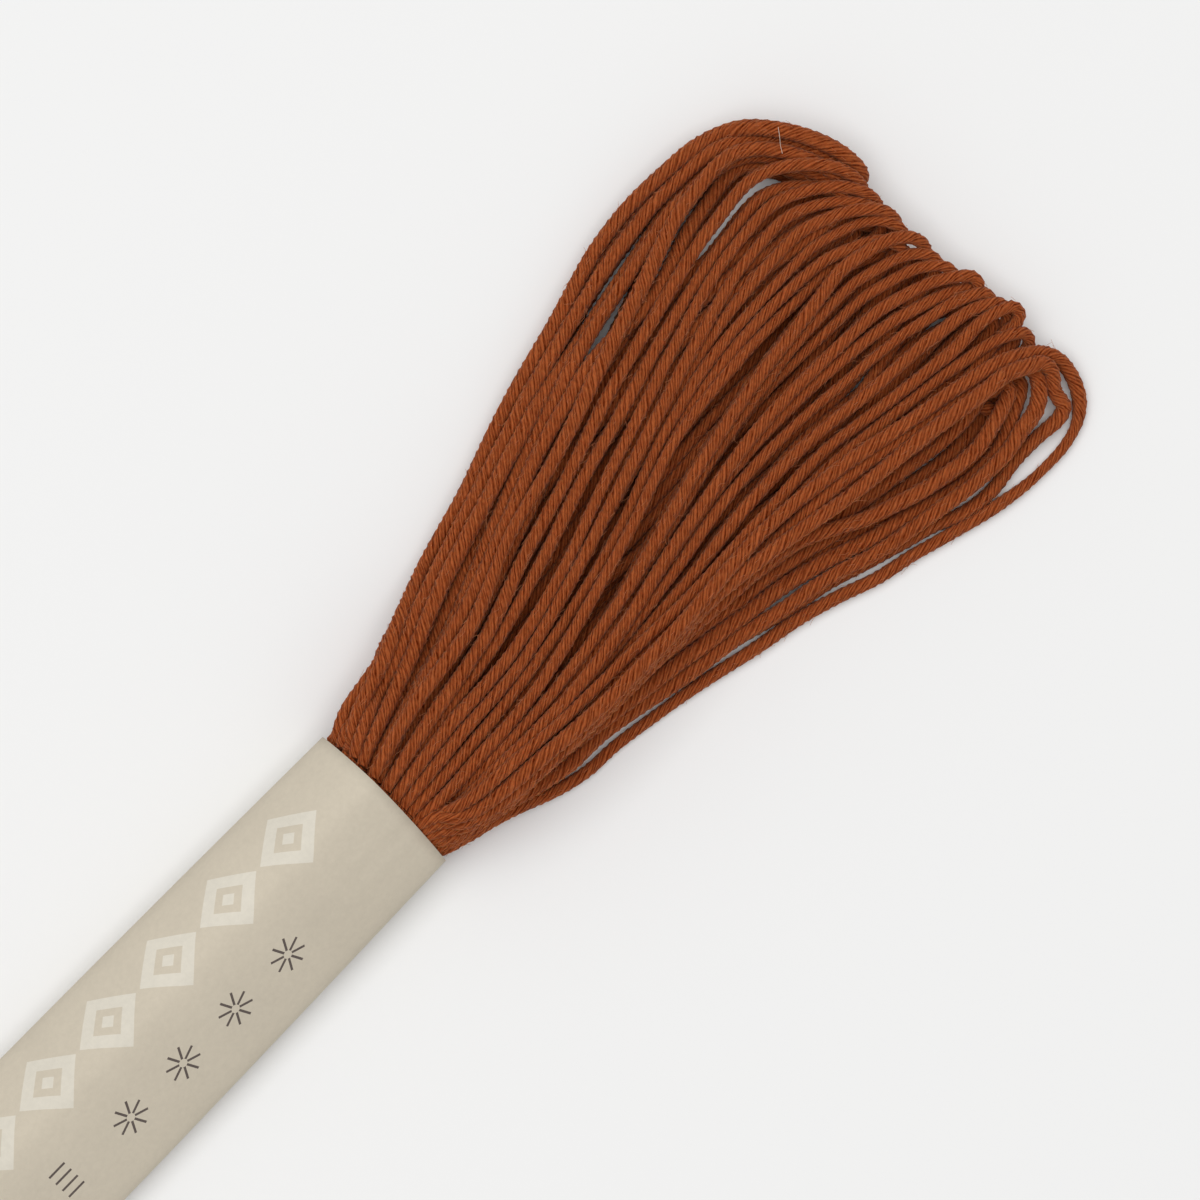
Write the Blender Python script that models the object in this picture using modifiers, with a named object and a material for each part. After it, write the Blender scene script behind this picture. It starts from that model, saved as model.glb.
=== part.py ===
"""A skein of embroidery floss: a flat hank of looped cotton thread, gathered by a paper band.

Metres, +Z up. +X runs along the skein, +Y to its left seen from above. The origin is under the
middle of the band, on the surface that the skein lies on. Both ends of the hank spread into a
fan of loops, and the second fan is the first one turned half round about the Z axis.
"""

import math
from collections import namedtuple

import bmesh
import bpy

MM = 0.001

# The thread: one loose strand, and how many lie side by side across a fan's upper layer.
STRAND = 1.1 * MM
STRANDS_ACROSS = 22

# The paper band: a flattened tube, a little narrower and taller at its two mouths.
BAND_LENGTH = 58.0 * MM
BAND_MOUTH_WIDTH = 9.5 * MM
BAND_MOUTH_HEIGHT = 6.6 * MM
BAND_MIDDLE_WIDTH = 10.3 * MM
BAND_MIDDLE_HEIGHT = 6.0 * MM
BAND_WALL = 1.0 * MM
BAND_SQUARENESS = 2.3
BAND_FLAT_DEPTH = 0.3 * MM
LAP_STEP = 0.25 * MM
LAP_EDGE = math.radians(-162)
LAP_END = math.radians(-98)

# Room between the two pieces, inside the band and in front of its mouths.
GAP = 0.4 * MM

# One fan, as sections across it. share is the way from the band's mouth (0) to the loops'
# tips (1). left, right, crown and rim are millimetres: how far the fan reaches to each side of
# the skein's middle line, the height of its top, and the height of its outermost strand.
# ledge is how far the right side drops, where the lower runs of the loops show beyond the
# upper ones, as a share of the height there.
Section = namedtuple("Section", "share left right crown rim ledge")
FAN = (
    Section(0.00, 4.85, 4.80, 6.20, 3.10, 0.00),
    Section(0.07, 5.60, 5.20, 6.10, 2.50, 0.00),
    Section(0.15, 6.40, 6.50, 5.70, 1.80, 0.05),
    Section(0.25, 7.50, 7.40, 5.20, 1.20, 0.15),
    Section(0.37, 9.00, 8.30, 4.80, 0.80, 0.28),
    Section(0.50, 10.80, 9.80, 4.40, 0.60, 0.38),
    Section(0.62, 12.50, 11.10, 4.10, 0.60, 0.45),
    Section(0.74, 13.50, 12.20, 3.80, 0.60, 0.48),
    Section(0.83, 13.60, 13.20, 3.60, 0.65, 0.45),
    Section(0.90, 13.20, 13.60, 3.30, 0.80, 0.35),
    Section(0.95, 12.30, 13.40, 3.00, 0.95, 0.20),
    Section(1.00, 10.70, 12.30, 2.70, 1.10, 0.10),
)

# The line of the loops' tips: side runs from the fan's left edge (0) to its right edge (1),
# reach is millimetres from the band's mouth.
Tip = namedtuple("Tip", "side reach")
TIPS = (
    Tip(0.00, 41.4),
    Tip(0.06, 42.7),
    Tip(0.20, 43.5),
    Tip(0.37, 42.4),
    Tip(0.54, 43.2),
    Tip(0.72, 44.0),
    Tip(0.80, 43.4),
    Tip(0.90, 43.9),
    Tip(1.00, 42.5),
)

# How a fan's section is made: the loops turn over with a round of TIP_ROUND, the groove
# between two strands is GROOVE deep, and the upper runs end about LEDGE_AT of the way across.
TIP_ROUND = 1.7 * MM
TIP_TURNS = (0, 30, 60, 90)
GROOVE = 0.36 * MM
LEDGE_AT = 0.79
LEDGE_WIDTH = 0.06
UNDERSIDE_FLATNESS = 1.14

# How many sections each stretch of the two pieces has, and the steps round the band.
FAN_STATIONS = 15
CORE_STATIONS = 7
BAND_STATIONS = 9
BAND_STEP_DEGREES = 9
LAP_EDGE_WIDTH = 0.04

THREAD_COLOUR = (0.283, 0.065, 0.019, 1)
PAPER_COLOUR = (0.515, 0.468, 0.376, 1)


def mix(a, b, share):
    return a + (b - a) * share


def smooth_step(low, high, value):
    t = min(1, max(0, (value - low) / (high - low)))
    return t * t * (3 - 2 * t)


def read_table(table, key, column, at):
    """A column of a table at a place between its rows, on a smooth curve through them."""
    keys = [getattr(row, key) for row in table]
    values = [getattr(row, column) for row in table]
    i = max(0, min(len(keys) - 2, sum(k <= at for k in keys) - 1))
    t = (at - keys[i]) / (keys[i + 1] - keys[i])

    def slope(j):
        before, after = max(0, j - 1), min(len(keys) - 1, j + 1)
        return (values[after] - values[before]) / (keys[after] - keys[before])

    step = keys[i + 1] - keys[i]
    start = (2 * t**3 - 3 * t**2 + 1) * values[i] + (t**3 - 2 * t**2 + t) * slope(i) * step
    end = (3 * t**2 - 2 * t**3) * values[i + 1] + (t**3 - t**2) * slope(i + 1) * step
    return start + end


def oval(across, squareness):
    """The height of a half oval, 1 in its middle, at a place from 0 to 1 across it."""
    off = min(1.0, abs(2 * across - 1))
    return (1 - off**squareness) ** (1 / squareness)


def band_size(x):
    """The band's outer width and height at a place along the skein."""
    share = min(1.0, abs(x) / (BAND_LENGTH / 2)) ** 1.5
    width = mix(BAND_MIDDLE_WIDTH, BAND_MOUTH_WIDTH, share)
    return width, mix(BAND_MIDDLE_HEIGHT, BAND_MOUTH_HEIGHT, share)


def core_point(across, x):
    """A point of the hank inside the band: x, y, and the heights of its top and underside."""
    width, height = band_size(x)
    room = BAND_WALL + GAP
    half = width / 2 - room
    middle = height / 2
    rise = height / 2 - room
    y = half * math.cos(math.pi * across)
    swell = rise * oval(0.5 - 0.5 * math.cos(math.pi * across), BAND_SQUARENESS)
    return x, y, middle + swell, middle - swell


def fan_point(across, share, turn, groove):
    """A point of the fan at +X. turn is how far the loops have turned over, in degrees."""

    def at(column):
        return read_table(FAN, "share", column, share)

    left, right, crown, rim = (at(c) * MM for c in ("left", "right", "crown", "rim"))
    reach = read_table(TIPS, "side", "reach", across) * MM - groove * smooth_step(0.8, 1, share)
    side = mix(0.5 - 0.5 * math.cos(math.pi * across), across, smooth_step(0, 0.5, share))
    x = BAND_LENGTH / 2 + 2 * GAP * (1 - share) + share * reach
    y = left - side * (left + right)
    swell = oval(side, 2.0)
    level = swell ** mix(1.0, 1.25, smooth_step(0, 0.5, share))
    drop = at("ledge") * smooth_step(LEDGE_AT - LEDGE_WIDTH, LEDGE_AT + LEDGE_WIDTH, side)
    over = math.cos(math.radians(turn))
    spacing = (left + right) / STRANDS_ACROSS / STRAND
    furrow = groove * min(1, spacing) * min(1, 3 * swell) * over
    top = rim + (crown - rim) * level * (1 - drop) * over - furrow
    underside = rim * (1 - min(1, UNDERSIDE_FLATNESS * swell * over ** 0.5))
    return x, y, top, underside


def hank_stations():
    """The sections of the hank from its far tips to its near ones, as functions of a place
    across it, which is 0 at its +Y side."""
    shares = [(i / FAN_STATIONS) ** 1.1 for i in range(FAN_STATIONS)]
    round_share = TIP_ROUND / (TIPS[0].reach * MM)
    shares = [(s * (1 - round_share), 0) for s in shares]
    turned = [(1 - round_share * (1 - math.sin(math.radians(a))), a) for a in TIP_TURNS]
    fan = shares + turned

    def far(share, turn):
        def section(across, groove):
            x, y, top, underside = fan_point(1 - across, share, turn, groove)
            return -x, -y, top, underside

        return section

    def near(share, turn):
        return lambda across, groove: fan_point(across, share, turn, groove)

    def core(x):
        return lambda across, groove: core_point(across, x)

    inside = BAND_LENGTH / 2 + GAP
    places = [mix(-inside, inside, i / (CORE_STATIONS - 1)) for i in range(CORE_STATIONS)]
    stations = [far(*s) for s in reversed(fan)]
    stations += [core(x) for x in places]
    return stations + [near(*s) for s in fan]


def new_material(name, colour, roughness):
    material = bpy.data.materials.new(name)
    material.use_nodes = True
    shader = material.node_tree.nodes["Principled BSDF"]
    shader.inputs["Base Color"].default_value = colour
    shader.inputs["Roughness"].default_value = roughness
    shader.inputs["Metallic"].default_value = 0
    return material


def new_object(name, mesh, material, collection):
    mesh.materials.append(material)
    made = bpy.data.objects.new(name, mesh)
    collection.objects.link(made)
    return made


def grid_sheet(columns, stations, place):
    """A grid whose points are set by place(column, station), as a bmesh."""
    sheet = bmesh.new()
    bmesh.ops.create_grid(sheet, x_segments=columns - 1, y_segments=stations - 1, size=0.5)
    sheet.verts.ensure_lookup_table()
    for vert in sheet.verts:
        column = round((vert.co.x + 0.5) * (columns - 1))
        station = round((vert.co.y + 0.5) * (stations - 1))
        vert.co = place(column, station)
    return sheet


def make_hank(collection):
    """The wound thread: an upper and a lower sheet that meet along the outermost strands and
    the loops' tips. Every second column of the upper sheet is the groove between two strands."""
    stations = hank_stations()
    columns = 2 * STRANDS_ACROSS + 1

    def place(upper):
        def point(column, station):
            groove = GROOVE if column % 2 == 0 and 0 < column < columns - 1 else 0
            x, y, top, underside = stations[station](column / (columns - 1), groove)
            return (x, y, top if upper else underside)

        return point

    body = grid_sheet(columns, len(stations), place(True))
    lower = grid_sheet(columns, len(stations), place(False))
    lower_mesh = bpy.data.meshes.new("hank_underside")
    lower.to_mesh(lower_mesh)
    lower.free()
    body.from_mesh(lower_mesh)
    bpy.data.meshes.remove(lower_mesh)
    bmesh.ops.remove_doubles(body, verts=body.verts, dist=0.001 * MM)
    bmesh.ops.recalc_face_normals(body, faces=body.faces)
    mesh = bpy.data.meshes.new("hank")
    body.to_mesh(mesh)
    body.free()
    mesh.shade_smooth()
    cotton = new_material("rust_cotton", THREAD_COLOUR, 0.9)
    return new_object("hank", mesh, cotton, collection)


def make_band(collection):
    """The paper band: one strip rolled into a flattened tube, its end lapped over its start low
    on the -Y side. Its underside is flat where it lies on the surface."""
    turns = [math.radians(a) for a in range(-178, 180, BAND_STEP_DEGREES)]
    turns = sorted(turns + [LAP_EDGE - LAP_EDGE_WIDTH / 2, LAP_EDGE + LAP_EDGE_WIDTH / 2])

    def point(column, station):
        turn = turns[column % len(turns)]
        x = mix(-BAND_LENGTH / 2, BAND_LENGTH / 2, station / (BAND_STATIONS - 1))
        width, height = band_size(x)
        lap = LAP_STEP if LAP_EDGE < turn < LAP_END else 0
        sine, cosine = math.sin(turn), math.cos(turn)
        power = 2 / BAND_SQUARENESS
        y = math.copysign(abs(cosine) ** power, cosine) * (width / 2 + lap)
        z = math.copysign(abs(sine) ** power, sine) * (height / 2 + BAND_FLAT_DEPTH / 2 + lap)
        return (x, y, max(0.0, z + height / 2 - BAND_FLAT_DEPTH / 2))

    tube = grid_sheet(len(turns) + 1, BAND_STATIONS, point)
    bmesh.ops.remove_doubles(tube, verts=tube.verts, dist=0.001 * MM)
    bmesh.ops.recalc_face_normals(tube, faces=tube.faces)
    mesh = bpy.data.meshes.new("paper_band")
    tube.to_mesh(mesh)
    tube.free()
    mesh.shade_smooth()
    paper = new_material("taupe_paper", PAPER_COLOUR, 0.85)
    band = new_object("paper_band", mesh, paper, collection)
    wall = band.modifiers.new("wall", "SOLIDIFY")
    wall.thickness = BAND_WALL
    wall.offset = -1
    wall.use_even_offset = True
    return band


for old in list(bpy.data.objects):
    bpy.data.objects.remove(old, do_unlink=True)
skein = bpy.data.collections.new("skein_of_embroidery_floss")
bpy.context.scene.collection.children.link(skein)
make_hank(skein)
make_band(skein)
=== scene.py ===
"""A skein of embroidery floss: forty-eight loops of one plied cotton thread, laid flat and
gathered by a paper band. Lengths in the sections on the thread and the band are millimetres, and
MM turns them into the model's metres. +X runs along the skein, +Y to its left seen from above,
+Z up.
"""

import math
from collections import namedtuple

import bmesh
import bpy
import numpy as np
from mathutils import Matrix, Vector


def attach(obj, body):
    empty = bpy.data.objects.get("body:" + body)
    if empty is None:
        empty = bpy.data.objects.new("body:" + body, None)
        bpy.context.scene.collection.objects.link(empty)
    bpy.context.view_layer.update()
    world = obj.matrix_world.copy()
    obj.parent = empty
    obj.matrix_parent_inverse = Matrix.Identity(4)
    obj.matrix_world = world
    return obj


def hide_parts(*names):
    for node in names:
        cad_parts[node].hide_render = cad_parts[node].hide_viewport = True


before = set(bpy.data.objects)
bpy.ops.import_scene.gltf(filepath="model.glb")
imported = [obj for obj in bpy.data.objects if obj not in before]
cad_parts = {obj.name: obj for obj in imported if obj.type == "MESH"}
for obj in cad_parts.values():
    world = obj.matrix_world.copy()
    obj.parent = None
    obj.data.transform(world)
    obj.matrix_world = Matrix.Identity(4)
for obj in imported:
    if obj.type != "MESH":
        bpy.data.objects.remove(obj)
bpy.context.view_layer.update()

# -----------------------------------------------------------------------------
# The surface under the skein, the light and the camera: a pale sheet, a wide soft light overhead,
# a little to the skein's left, and a camera almost straight above, turned so that the skein runs
# up to the right.
# -----------------------------------------------------------------------------
MM = 0.001
SHEET_SIZE = 1.6
SHEET_SURFACE = {
    "Base Color": (0.88, 0.88, 0.875, 1),
    "Roughness": 0.95,
    "Specular IOR Level": 0.2,
}
WHITE = (1.0, 1.0, 1.0, 1)
ROOM_STRENGTH = 0.46
LIGHT_PLACE = Vector((0.03, 0.14, 0.8))
LIGHT_AIM = Vector((0.03, 0.0, 0.0))
LIGHT_SIZE = 0.9
LIGHT_ENERGY = 5.1
VIEW_CENTRE = Vector((45.1 * MM, -0.8 * MM, 0.0))
VIEW_WIDTH = 66.7 * MM
CAMERA_HEIGHT = 490 * MM
CAMERA_OVER_X = 12 * MM
CAMERA_SENSOR = 36.0
CAMERA_SEES = (0.01, 10)
SKEIN_TURN = math.radians(45.7)

scene = bpy.context.scene
scene.view_settings.view_transform = "Standard"


def new_material(name, surface):
    """A material with its shader's plain values set, its tree and its shader."""
    material = bpy.data.materials.new(name)
    material.use_nodes = True
    shader = material.node_tree.nodes["Principled BSDF"]
    for socket, value in surface.items():
        shader.inputs[socket].default_value = value
    return material, material.node_tree, shader


sheet_mesh = bmesh.new()
bmesh.ops.create_grid(sheet_mesh, x_segments=1, y_segments=1, size=SHEET_SIZE)
floor_data = bpy.data.meshes.new("surface")
sheet_mesh.to_mesh(floor_data)
sheet_mesh.free()
surface = bpy.data.objects.new("surface", floor_data)
scene.collection.objects.link(surface)
floor_data.materials.append(new_material("pale_surface", SHEET_SURFACE)[0])

world = bpy.data.worlds.new("soft_room")
world.use_nodes = True
world.node_tree.nodes["Background"].inputs["Color"].default_value = WHITE
world.node_tree.nodes["Background"].inputs["Strength"].default_value = ROOM_STRENGTH
scene.world = world

lamp = bpy.data.lights.new("overhead", "AREA")
lamp.shape = "SQUARE"
lamp.size = LIGHT_SIZE
lamp.energy = LIGHT_ENERGY
overhead = bpy.data.objects.new("overhead", lamp)
overhead.location = LIGHT_PLACE
overhead.rotation_euler = (LIGHT_AIM - LIGHT_PLACE).to_track_quat("-Z", "Y").to_euler()
scene.collection.objects.link(overhead)

camera_data = bpy.data.cameras.new("camera")
camera = bpy.data.objects.new("camera", camera_data)
camera.location = (CAMERA_OVER_X, VIEW_CENTRE.y, CAMERA_HEIGHT)
back = (camera.location - VIEW_CENTRE).normalized()
right = Vector((math.cos(SKEIN_TURN), -math.sin(SKEIN_TURN), 0))
right = (right - back * right.dot(back)).normalized()
up = back.cross(right)
camera.rotation_euler = Matrix((right, up, back)).transposed().to_euler()
camera_data.sensor_width = CAMERA_SENSOR
camera_data.lens = CAMERA_SENSOR * (camera.location - VIEW_CENTRE).length / VIEW_WIDTH
camera_data.clip_start, camera_data.clip_end = CAMERA_SEES
scene.collection.objects.link(camera)
scene.camera = camera

# -----------------------------------------------------------------------------
# How the thread lies: one thread wound round and round, gathered by the band in its middle, so
# that its loops fan out flat at both ends. The second fan is the first one turned half round.
# -----------------------------------------------------------------------------

# The thread's width where it is loose and where the band squeezes it, how far out of the band it
# starts and stops loosening, and its shares of the loose width where it is full and pulled thin.
LOOSE = 0.96
SQUEEZED = 0.72
LOOSENS = (-2.0, 7.0)
FULL = 0.95
PULLED = 0.78

# The band's outside: half its length, its width and height in the middle and at a mouth, how it
# goes from one to the other, how square its section is, and the low ridge along its top.
# PAPER_ROOM is what the paper takes inside it.
HALF_BAND = 29.0
BAND_MIDDLE = (10.5, 6.1)
BAND_MOUTH = (9.8, 6.7)
BAND_CHANGE = 1.5
BAND_SQUARENESS = 3.0
RIDGE_ACROSS = 1.2
RIDGE_SLOPE = 0.72
RIDGE_SOFTNESS = 1.2
PAPER_ROOM = 0.42

# The upper runs of the loops that show, from the fan's left to its right: how far each lies to
# the left of the middle line at each of STATIONS, and where its tip is, along and across. depth
# is how many strands lie over it at the mouth, half way and at the tip.
STATIONS = (0, 5, 10, 15, 20, 25, 30, 35, 39)
Run = namedtuple("Run", "depth across tip")
UPPER_RUNS = (
    Run((0, 1, 1), (4.4, 5.5, 6.4, 7.8, 9.4, 10.9, 12.1, 12.5, 12.0), (42.9, 6.4)),
    Run((0, 0, 0), (4.0, 5.4, 7.3, 8.6, 10.3, 11.7, 13.0, 13.2, 12.5), (43.1, 5.8)),
    Run((0, 0, 0), (3.1, 4.8, 6.4, 7.9, 9.4, 10.8, 11.9, 12.3, 11.6), (42.6, 5.9)),
    Run((0, 0, 1), (2.3, 4.0, 5.8, 7.3, 8.8, 10.0, 10.9, 11.7, 11.3), (42.1, 5.7)),
    Run((1, 0, 1), (1.7, 2.9, 4.5, 6.4, 8.2, 9.7, 10.6, 11.4, 10.8), (41.6, 5.3)),
    Run((0, 0, 0), (1.4, 2.6, 3.4, 5.3, 6.6, 8.3, 9.8, 11.2, 11.1), (41.9, 5.5)),
    Run((1, 0, 1), (1.0, 2.8, 4.2, 5.9, 7.6, 8.8, 8.9, 10.2, 10.4), (41.3, 5.2)),
    Run((0, 0, 0), (0.4, 1.4, 2.3, 4.0, 5.4, 6.9, 8.2, 9.2, 9.2), (42.6, 4.9)),
    Run((1, 0, 0), (0.2, 0.9, 1.5, 2.9, 4.5, 5.8, 7.2, 8.3, 8.3), (41.8, 4.5)),
    Run((0, 0, 0), (-0.3, 0.3, 0.6, 1.8, 3.4, 4.8, 6.2, 7.3, 7.3), (42.6, 3.6)),
    Run((0, 0, 0), (-0.9, -0.6, -0.3, 0.8, 2.3, 3.8, 5.2, 6.3, 6.2), (42.4, 2.8)),
    Run((1, 1, 0), (-0.7, -0.4, 0.1, 1.0, 2.2, 3.4, 4.7, 5.3, 5.1), (42.6, 2.2)),
    Run((0, 1, 0), (-1.5, -1.3, -0.9, 0.0, 1.3, 3.1, 4.2, 4.5, 4.1), (42.6, 1.7)),
    Run((1, 1, 0), (-1.8, -1.7, -1.2, -0.4, 0.8, 2.4, 3.4, 3.7, 3.2), (41.9, 1.2)),
    Run((0, 0, 1), (-2.4, -2.1, -1.6, -0.6, 0.8, 2.4, 2.9, 2.9, 2.6), (41.8, 0.8)),
    Run((0, 0, 0), (-2.9, -2.8, -2.5, -1.8, -0.7, 0.5, 1.5, 2.1, 2.3), (42.8, 0.2)),
    Run((1, 1, 0), (-3.1, -3.0, -2.7, -2.1, -1.1, 0.1, 0.9, 1.4, 1.2), (42.7, -0.6)),
    Run((1, 1, 0), (-3.3, -3.2, -2.9, -2.3, -1.3, -0.1, 0.6, 0.6, 0.3), (42.9, -1.5)),
    Run((1, 0, 0), (-3.4, -3.3, -3.3, -2.8, -1.8, -1.0, -0.4, -0.4, -0.8), (43.5, -2.8)),
    Run((1, 1, 0), (-3.6, -3.5, -3.5, -3.2, -2.2, -1.4, -1.1, -1.4, -2.0), (43.3, -3.6)),
    Run((1, 0, 0), (-3.7, -3.7, -3.7, -3.3, -2.7, -2.0, -1.9, -2.3, -2.8), (43.3, -4.1)),
    Run((1, 0, 0), (-3.8, -3.9, -3.9, -3.8, -3.5, -2.9, -2.8, -3.4, -3.9), (43.5, -4.9)),
    Run((0, 0, 0), (-3.3, -3.6, -4.1, -4.2, -4.3, -4.1, -3.9, -4.6, -5.0), (43.9, -5.5)),
    Run((1, 1, 0), (-4.1, -4.4, -4.7, -4.7, -4.7, -4.7, -4.7, -5.2, -5.8), (43.3, -6.95)),
)

# The outermost loops on the right lie flat, one inside the other, and are followed all round:
# points along and across, from the upper run's last station, round the tip and back to the mouth.
# widths are the thread's shares of its loose width past the tip, further back and near the mouth,
# and low_layer is how many strands lie under it past the tip.
FlatLoop = namedtuple("FlatLoop", "widths depth low_layer across round")
FLAT_LOOPS = (
    FlatLoop(
        (0.68, 0.87, 0.74), (0, 0, 0), 0,
        (-3.9, -4.4, -4.9, -5.0, -4.9, -4.7, -5.2, -6.3, -7.1),
        (
            (41.1, -7.7), (42.3, -8.3), (43.2, -9.1), (43.5, -9.9), (43.45, -10.7), (43.2, -11.5),
            (42.7, -12.3), (41.8, -13.0), (40.4, -13.4), (38.9, -13.45), (37.4, -13.35),
            (35.6, -13.0), (33.7, -12.45), (31.7, -11.9), (30.0, -11.4), (27.8, -10.95),
            (25.6, -10.2), (23.3, -9.5), (20.0, -8.8), (16.7, -8.0), (13.5, -7.4),
            (10.6, -7.0), (8.9, -6.95), (7.6, -6.7), (6.4, -6.3), (5.2, -5.75), (3.3, -4.85),
            (0.0, -4.1),
        ),
    ),
    FlatLoop(
        (0.88, 0.92, 0.92), (0, 0, 0), 0,
        (-4.2, -4.8, -5.1, -5.2, -5.3, -6.0, -6.9, -7.4, -8.0),
        (
            (40.6, -8.2), (41.8, -8.7), (42.6, -9.3), (42.6, -9.9), (42.15, -10.5), (41.9, -11.0),
            (41.95, -11.45), (41.75, -11.9), (41.1, -12.05), (39.8, -11.95), (37.8, -11.9),
            (35.5, -12.1), (34.4, -12.0), (33.3, -11.7), (32.2, -11.2), (30.0, -10.6),
            (27.8, -10.0), (25.6, -9.3), (23.3, -8.8), (20.0, -7.95), (16.7, -7.3), (13.5, -6.6),
            (10.0, -5.75), (7.6, -5.85), (5.0, -5.1), (0.0, -4.2),
        ),
    ),
    FlatLoop(
        (0.94, 0.98, 0.98), (1, 1, 1), 1,
        (-4.1, -4.6, -5.0, -5.2, -5.2, -5.6, -6.0, -6.8, -7.7),
        (
            (40.5, -8.0), (41.6, -8.5), (42.1, -9.2), (41.8, -9.9), (41.2, -10.5), (40.3, -10.95),
            (39.2, -11.1), (38.0, -11.35), (36.4, -11.4), (35.0, -11.3), (33.3, -11.0),
            (31.1, -10.6), (28.9, -10.2), (27.8, -9.85), (26.7, -9.45), (24.4, -8.85),
            (23.0, -8.6), (20.0, -7.85), (16.7, -7.35), (13.5, -6.65), (10.0, -5.8), (7.6, -5.6),
            (5.0, -4.9), (0.0, -4.1),
        ),
    ),
    FlatLoop(
        (0.9, 0.96, 0.96), (2, 2, 2), 1,
        (-3.9, -4.4, -4.8, -5.0, -5.1, -5.5, -6.1, -7.0, -7.9),
        (
            (40.2, -8.3), (41.0, -8.65), (41.1, -9.1), (40.6, -9.5), (39.9, -9.85), (38.9, -10.25),
            (37.6, -10.65), (36.0, -10.75), (34.4, -10.55), (32.8, -10.1), (31.1, -9.6),
            (28.9, -9.05), (26.7, -8.3), (24.4, -7.65), (20.0, -6.9), (16.7, -6.3), (13.5, -5.8),
            (10.0, -5.2), (5.0, -4.6), (0.0, -3.8),
        ),
    ),
    FlatLoop(
        (0.95, 0.95, 0.95), (2, 2, 2), 2,
        (-3.7, -4.2, -4.6, -4.8, -5.0, -5.3, -5.9, -6.8, -7.6),
        (
            (39.3, -8.1), (40.2, -8.4), (40.3, -8.8), (39.4, -9.3), (38.0, -9.7), (36.7, -9.95),
            (35.3, -9.85), (33.3, -9.5), (31.1, -8.8), (30.0, -8.4), (28.9, -7.9), (27.8, -7.25),
            (26.7, -6.7), (25.6, -6.2), (24.4, -5.9), (22.2, -5.6), (20.0, -5.4), (15.0, -5.0),
            (10.0, -4.7), (5.0, -4.2), (0.0, -3.4),
        ),
    ),
    FlatLoop(
        (0.9, 0.9, 0.9), (4, 4, 4), 0,
        (-3.6, -4.1, -4.5, -4.7, -4.9, -5.2, -5.8, -6.7, -7.6),
        (
            (38.6, -8.4), (39.0, -9.2), (38.4, -9.8), (36.7, -10.2), (35.0, -10.1), (33.3, -9.75),
            (31.1, -9.15), (28.9, -8.6), (26.7, -7.85), (24.4, -7.15), (22.2, -6.7), (20.0, -6.4),
            (15.0, -5.5), (10.0, -4.9), (5.0, -4.3), (0.0, -3.2),
        ),
    ),
    FlatLoop(
        (0.9, 0.9, 0.9), (3, 3, 3), 0,
        (-3.5, -4.0, -4.5, -4.7, -4.9, -5.1, -5.7, -6.6, -7.4),
        (
            (39.2, -8.0), (39.5, -8.4), (38.4, -8.7), (36.7, -8.9), (35.0, -8.85), (33.3, -8.6),
            (31.1, -8.2), (28.9, -7.75), (25.6, -6.9), (23.3, -6.45), (20.0, -5.9), (16.7, -5.4),
            (10.0, -4.8), (5.0, -4.2), (0.0, -3.0),
        ),
    ),
    FlatLoop(
        (0.9, 0.9, 0.9), (3, 3, 3), 1,
        (-3.3, -3.8, -4.3, -4.5, -4.7, -4.9, -5.4, -6.2, -6.9),
        (
            (38.9, -7.1), (39.7, -7.4), (39.0, -7.9), (37.5, -8.2), (35.5, -8.25), (33.0, -7.95),
            (30.0, -7.45), (25.0, -6.2), (20.0, -5.4), (15.0, -4.9), (10.0, -4.4), (5.0, -3.8),
            (0.0, -2.7),
        ),
    ),
)

# How far the fan reaches to each side, how far its lower runs do but for the flat loops', and
# the height of its top, at a distance along from the band's mouth.
Section = namedtuple("Section", "along left right low_left low_right crown")
FAN = (
    Section(0.0, 4.9, 4.8, 4.4, 3.4, 6.2),
    Section(3.0, 5.6, 5.1, 4.6, 3.4, 6.1),
    Section(6.0, 6.3, 6.2, 4.9, 3.6, 5.7),
    Section(11.0, 7.6, 7.3, 5.4, 4.2, 5.2),
    Section(16.0, 9.0, 8.3, 6.0, 4.9, 4.8),
    Section(22.0, 11.2, 9.8, 7.2, 5.8, 4.4),
    Section(27.0, 12.7, 11.1, 8.2, 6.6, 4.1),
    Section(32.0, 13.6, 12.5, 8.6, 7.6, 3.8),
    Section(37.0, 13.3, 13.5, 8.0, 8.4, 3.6),
    Section(40.0, 12.0, 13.4, 7.4, 8.6, 3.3),
    Section(44.0, 10.7, 12.5, 7.0, 8.6, 2.7),
)

# How far apart the points on the thread are, how high one layer of strands lies over the next in
# the fan and in the band, the least height over the band's middle, how much lower a lower layer
# lies there, and how round the fan's top is across.
STEP = 0.6
LAYER = 0.88
LAYER_IN_BAND = 0.66
LEAST_RISE = 0.1
LOWER_LAYERS = 1.2
FAN_ROUNDNESS = 2.4

# Where a run's depths hold, along from the mouth; how far into the fan the first of them counts
# for the band; and over what length out of the mouth the strands take their places in the fan.
DEPTHS_ALONG = (0, 24, 41)
MOUTH_DEPTHS_ALONG = (0, 18)
MOUTH_SWEEP = 8.0

# How a loop turns over at its tip: the turn's radius, how far it is drawn in, its heading in
# degrees on the fan's right, how much more that is on its left, and between which places across;
# how far before and after the turn the thread comes down; how far the lower run takes to find its
# place; and between which places across the thread goes from pulled to full.
TURN_RADIUS = 0.6
TIP_DRAWN_IN = 0.15
TURN_POINTS = 7
HEADING_RIGHT = 20
HEADING_SPREAD = 68
HEADING_ACROSS = (-6, 4)
COMES_DOWN = (2.6, 0.9)
LOWER_SWEEP = 11
PULLED_ACROSS = (5.0, 10.0)

# How far to each side of its tip a flat loop comes down, and where past it its widths change.
FLAT_COMES_DOWN = 3.5
WIDTHS_PAST_TIP = (2.5, 4.2, 7.0, 10.0, 29.0, 32.0)

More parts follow.
